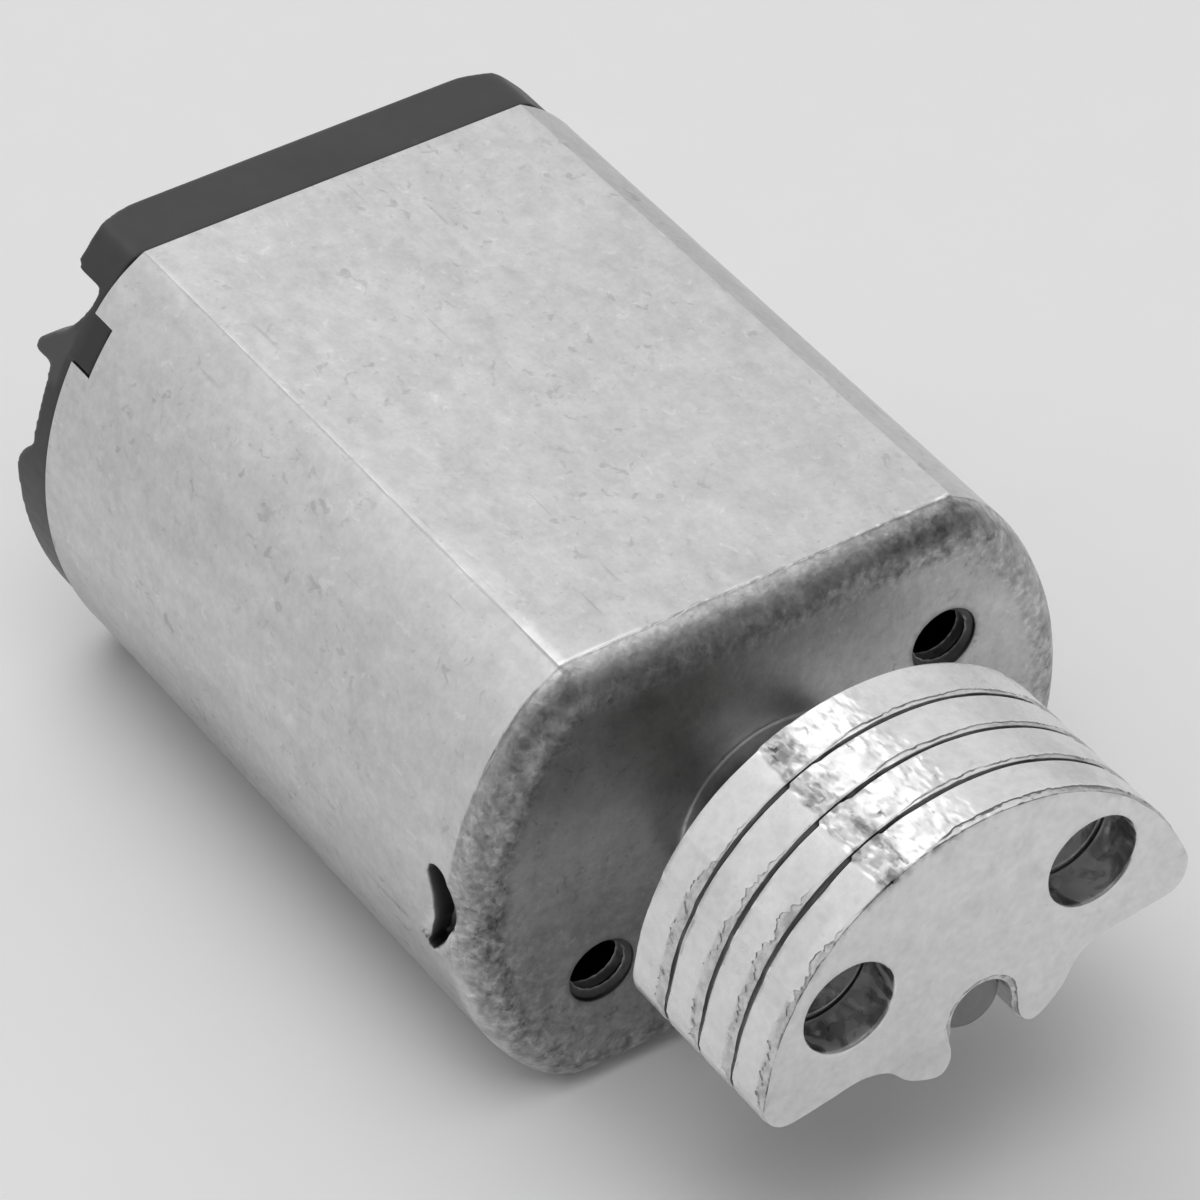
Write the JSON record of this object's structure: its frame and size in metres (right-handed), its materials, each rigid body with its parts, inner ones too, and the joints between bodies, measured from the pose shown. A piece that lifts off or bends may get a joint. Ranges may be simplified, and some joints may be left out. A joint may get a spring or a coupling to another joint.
{
  "type": "vibration motor",
  "caption": "Flat-sided brushed DC motor whose shaft carries a stack of fan-shaped plates as an eccentric weight, so that it vibrates as it spins.",
  "frame": {"origin": "centre of the front mounting face, on the shaft axis and midway between the tapped holes", "axes": "+X along the shaft out of the front, +Z normal to the upper flat, the motor lying on its lower flat"},
  "size_m": [0.0367, 0.0204, 0.0152],
  "materials": {
    "plated_steel": "satin nickel plating, fine drawing scratches",
    "dark_plastic": "smooth moulded dark grey",
    "sintered_bronze": "porous sintered bronze, oiled",
    "ferrite": "ground ferrite",
    "spring_steel": "rolled strip",
    "terminal_brass": "stamped, tinned at the tail",
    "brush_bronze": "rolled phosphor bronze leaf",
    "ground_steel": "ground",
    "lamination_steel": "stamped electrical steel",
    "insulator_plastic": "moulded",
    "copper_wire": "enamelled copper",
    "commutator_copper": "turned copper",
    "washer_plastic": "punched sheet",
    "weight_steel": "zinc plated, punched"
  },
  "bodies": {
    "housing": {"can": "plated_steel", "front_bearing": "sintered_bronze", "rear_bearing": "sintered_bronze", "magnet_left": "ferrite", "magnet_right": "ferrite", "magnet_spring": "spring_steel", "end_bell": "dark_plastic", "terminal_left": "terminal_brass", "terminal_right": "terminal_brass", "brush_left": "brush_bronze", "brush_right": "brush_bronze"},
    "rotor": {"shaft": "ground_steel", "armature_laminations": "lamination_steel", "core_insulator_front": "insulator_plastic", "core_insulator_rear": "insulator_plastic", "winding_1": "copper_wire", "winding_2": "copper_wire", "winding_3": "copper_wire", "commutator_hub": "insulator_plastic", "commutator_segments": "commutator_copper", "commutator_ring": "insulator_plastic", "thrust_washer_front": "washer_plastic", "thrust_washer_rear": "washer_plastic", "weight_plate_1": "weight_steel", "weight_plate_2": "weight_steel", "weight_plate_3": "weight_steel", "weight_plate_4": "weight_steel"}
  },
  "joints": [
    {"name": "rotor_spin", "type": "hinge", "parent": "housing", "child": "rotor", "pos_m": [0, 0, 0], "axis": [1, 0, 0], "continuous": true}
  ]
}
